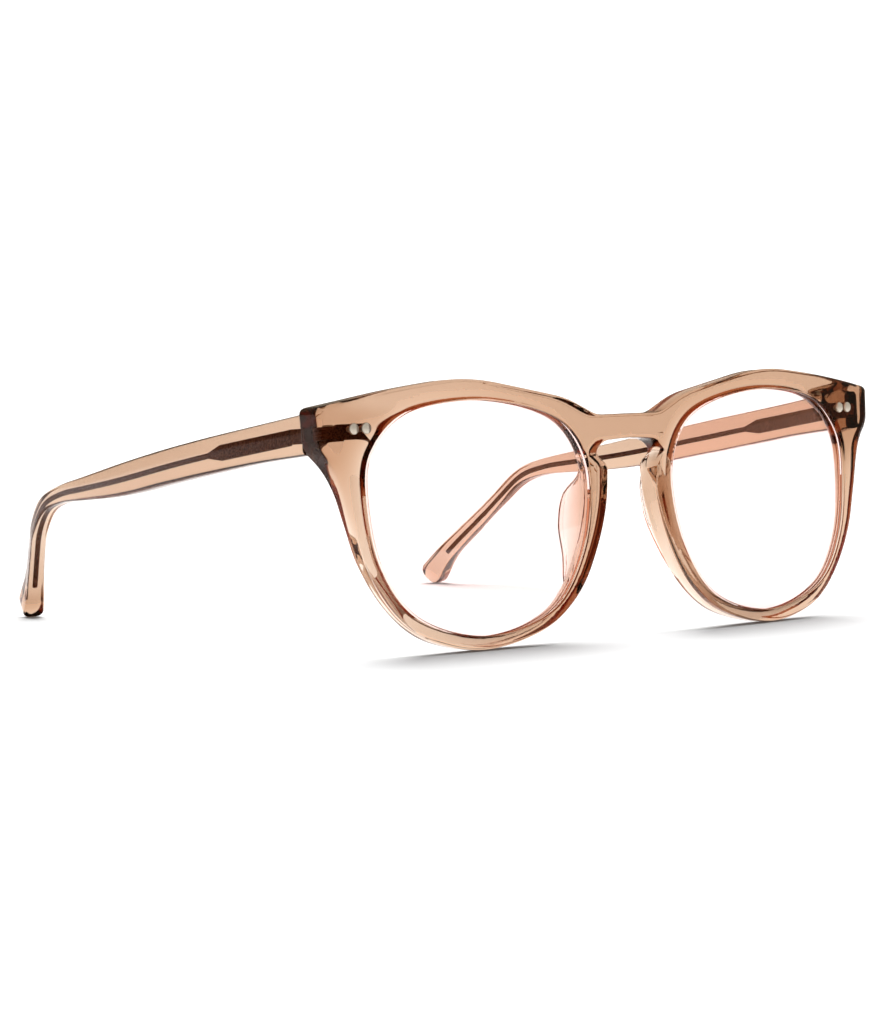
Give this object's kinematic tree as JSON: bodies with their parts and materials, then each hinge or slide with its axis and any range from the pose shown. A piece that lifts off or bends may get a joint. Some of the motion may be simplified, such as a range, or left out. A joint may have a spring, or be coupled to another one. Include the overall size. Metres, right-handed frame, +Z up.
{
  "type": "blue light glasses",
  "caption": "Round-lensed acetate eyeglasses with a keyhole bridge, moulded nose pads, clear filter lenses and temples that fold on screw hinges.",
  "frame": {"origin": "on the surface the open glasses stand on, below the middle of their bounding box", "axes": "+Z up, +X towards the wearer's left, +Y from the front towards the temple tips"},
  "size_m": [0.1412, 0.1279, 0.0491],
  "materials": {
    "acetate": "polished, translucent",
    "lens": "clear, coated",
    "steel": "satin",
    "core": "sandblasted"
  },
  "bodies": {
    "front": {"frame_front": "acetate", "lens_left": "lens", "lens_right": "lens", "nose_pad_left": "acetate", "nose_pad_right": "acetate", "rivet_pin_left_inner": "steel", "rivet_pin_left_outer": "steel", "rivet_pin_right_inner": "steel", "rivet_pin_right_outer": "steel", "front_hinge_left": "steel", "front_hinge_right": "steel", "hinge_screw_left": "steel", "hinge_screw_right": "steel"},
    "temple_left": {"temple_left": "acetate", "temple_hinge_left": "steel", "core_wire_left": "core"},
    "temple_right": {"temple_right": "acetate", "temple_hinge_right": "steel", "core_wire_right": "core"}
  },
  "joints": [
    {"name": "fold_left", "type": "hinge", "parent": "front", "child": "temple_left", "pos_m": [0.0635, -0.05015, 0.03954], "axis": [0, 0.0652, 0.9979], "range_deg": [0, 86]},
    {"name": "fold_right", "type": "hinge", "parent": "front", "child": "temple_right", "pos_m": [-0.0635, -0.05015, 0.03954], "axis": [0, -0.0652, -0.9979], "range_deg": [0, 80]}
  ]
}
